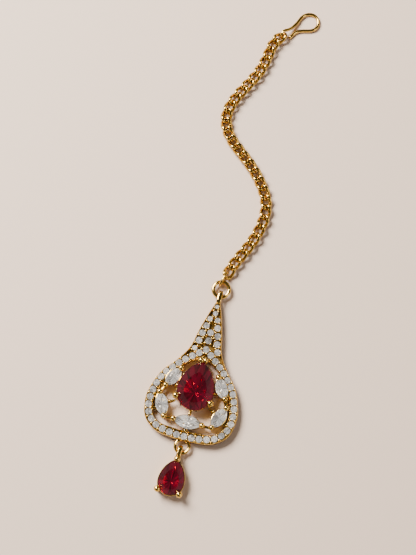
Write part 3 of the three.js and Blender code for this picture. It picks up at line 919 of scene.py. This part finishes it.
HOOK_WIRE = 0.42
HOOK_ROUTE = np.array([
    [0.6, 84.6, 0.42], [1.4, 86.2, 0.42], [2.3, 87.15, 0.42], [3.7, 87.68, 0.42], [5.3, 88.1, 0.42],
    [6.5, 88.85, 0.42], [6.95, 90.1, 0.42], [6.7, 91.4, 0.42], [5.8, 92.35, 0.42], [4.55, 92.6, 0.42],
    [3.2, 92.1, 0.42], [2.25, 90.9, 0.45], [1.7, 89.4, 0.6], [0.89, 87.9, 0.85], [0.1, 86.76, 1.32],
    [-0.99, 85.84, 1.84], [-1.44, 84.85, 1.59], [-1.22, 84.41, 0.87], [-0.92, 84.34, 0.49],
    [-0.39, 84.18, 0.47],
])
HOOK_STEPS = 260
HOOK_EASE = 11
TIP_FLAT = 0.02


def eased(path, width):
    """A path with each point moved to the mean of the points within half the width of it."""
    padded = np.pad(path, ((width // 2, width // 2), (0, 0)), mode="edge")
    sums = np.cumsum(np.vstack([np.zeros(path.shape[1]), padded]), axis=0)
    return (sums[width:] - sums[:-width]) / width


hook_shares = np.linspace(0.0, 1.0, HOOK_STEPS)
hook_path = at_shares(smooth_path(HOOK_ROUTE), hook_shares)
hook_path = at_shares(eased(hook_path, HOOK_EASE), hook_shares)
hook_length = np.linalg.norm(np.diff(hook_path, axis=0), axis=1).sum()
from_end = np.minimum(hook_shares, hook_shares[::-1]) * hook_length
left_over = np.clip((from_end + TIP_FLAT) / HOOK_WIRE, 0.0, 1.0)
hook_swell = np.sqrt(left_over * (2.0 - left_over))
hook_skin = carried(hook_path, oval(HOOK_WIRE, HOOK_WIRE, 18), closed=False, swell=hook_swell)
make_piece("hair_hook", [hook_skin], [gold], ["hook"], crease=50)

# ---- Drop ----
# A pear stone of the same red glass in a gold wall that steps in below, under three round-headed posts.
# A strap loop on edge hangs it from the lower ring. It is made upright, then turned as it lies.

DROP = {"x": -0.1, "y": -24.7, "turn": -1.3}
DROP_STONE = {"y": -7.3, "radius": 3.05, "point": 5.4, "girdle": 2.45}
DROP_FACETS = 24
DROP_WALL = {"wall": 0.36, "spread": 0.2, "step": 1.2, "lap": 0.1, "top": 2.55}
DROP_HEADS = np.array([[0.0, -1.75, 2.75], [2.65, -9.6, 2.75], [-2.65, -9.6, 2.75]])
DROP_HEAD_SIZE = 0.8
DROP_LOOP = {"y": 0.05, "z": 1.15, "length": 3.3, "height": 2.3, "thick": 0.58, "width": 1.15}


def as_it_lies(skin):
    """A skin of the drop turned and moved to where the drop lies."""
    return scattered(skin, [[DROP["x"], DROP["y"], 0.0]], 1.0, np.radians([DROP["turn"]]))


drop_shape = (DROP_STONE["radius"], DROP_STONE["point"])
drop_low, drop_high = (np.array(corner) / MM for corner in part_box("drop_stone"))
wall, spread, step, lap, top = (DROP_WALL[key] for key in ("wall", "spread", "step", "lap", "top"))
drop_skins = [
    pear_wall(*drop_shape, spread, wall, step, top, DROP_STONE["y"]),
    pear_wall(*drop_shape, 0.0, wall, 0.0, step + lap, DROP_STONE["y"]),
    strap_loop(**DROP_LOOP),
    *headed_posts(DROP_HEADS, [DROP_HEAD_SIZE] * 3),
]
lying_skins = [as_it_lies(skin) for skin in drop_skins]
make_piece("drop_goldwork", lying_skins, [gold], ["drop_setting"], crease=40)
drop_stone_shape = pear_stone(*drop_shape, DROP_FACETS, DROP_STONE["girdle"], drop_low[2], drop_high[2])
drop_stone_skin = scattered(drop_stone_shape, [[0.0, DROP_STONE["y"], DROP_STONE["girdle"]]], 1.0)
lying_stone = [as_it_lies(drop_stone_skin)]
drop = make_piece("drop_pear_stone", lying_stone, [ruby, ruby_back_painted_glow], ["drop_stone"])
number_facets(drop, seed=8)

# ---- Floor and light ----
# A plain pale matt floor, a large soft light from beyond the chain's left, a weak fill from the right
# and a dim even sky. None of it belongs to the ornament.

FLOOR_SIZE = 1200.0
FLOOR_COLOUR = (0.66, 0.51, 0.41, 1.0)
FLOOR_ROUGHNESS = 0.7
WINDOW = {
    "turn": 240.0, "height": 46.0, "away": 600.0, "size": 280.0, "power": 14.5, "colour": (1.0, 0.96, 0.90),
}
FILL = {
    "turn": 75.0, "height": 40.0, "away": 700.0, "size": 300.0, "power": 1.2, "colour": (1.0, 0.93, 0.85),
}
SKY_SIDES = {"height": 0.12, "colour": (1.0, 0.96, 0.91, 1.0)}
SKY_TOP = {"height": 0.7, "colour": (0.16, 0.15, 0.14, 1.0)}
SKY_STRENGTH = 0.42

floor_corners = np.array([[-1, -1, 0], [1, -1, 0], [1, 1, 0], [-1, 1, 0]]) * FLOOR_SIZE / 2 * MM
floor_mesh = bpy.data.meshes.new("floor")
floor_mesh.from_pydata(floor_corners.tolist(), [], [(0, 1, 2, 3)])
floor_finish = bpy.data.materials.new("pale_floor")
floor_finish.use_nodes = True
floor_shader = floor_finish.node_tree.nodes["Principled BSDF"]
floor_shader.inputs["Base Color"].default_value = FLOOR_COLOUR
floor_shader.inputs["Roughness"].default_value = FLOOR_ROUGHNESS
floor_mesh.materials.append(floor_finish)
floor = bpy.data.objects.new("floor", floor_mesh)
bpy.context.scene.collection.objects.link(floor)


def soft_light(name, turn, height, away, size, power, colour):
    """A square light that faces the point the camera looks at."""
    data = bpy.data.lights.new(name, "AREA")
    data.shape = "SQUARE"
    data.size = size * MM
    data.energy = power
    data.color = colour
    light = bpy.data.objects.new(name, data)
    turn, height = np.radians(turn), np.radians(height)
    light.location = (LOOK_AT + facing(turn, height) * away) * MM
    light.rotation_euler = (np.pi / 2 - height, 0.0, turn)
    bpy.context.scene.collection.objects.link(light)


soft_light("window", **WINDOW)
soft_light("fill", **FILL)


def studio_sky():
    """A sky that is bright round the sides and dim overhead, by the height of the direction."""
    sky = bpy.data.worlds.new("sky")
    sky.use_nodes = True
    tree = sky.node_tree
    split = tree.nodes.new("ShaderNodeSeparateXYZ")
    ramp = tree.nodes.new("ShaderNodeValToRGB")
    for stop, part in zip(ramp.color_ramp.elements, (SKY_SIDES, SKY_TOP)):
        stop.position = part["height"]
        stop.color = part["colour"]
    tree.links.new(tree.nodes.new("ShaderNodeTexCoord").outputs["Generated"], split.inputs[0])
    tree.links.new(split.outputs["Z"], ramp.inputs[0])
    tree.links.new(ramp.outputs[0], tree.nodes["Background"].inputs[0])
    tree.nodes["Background"].inputs[1].default_value = SKY_STRENGTH
    return sky


bpy.context.scene.world = studio_sky()
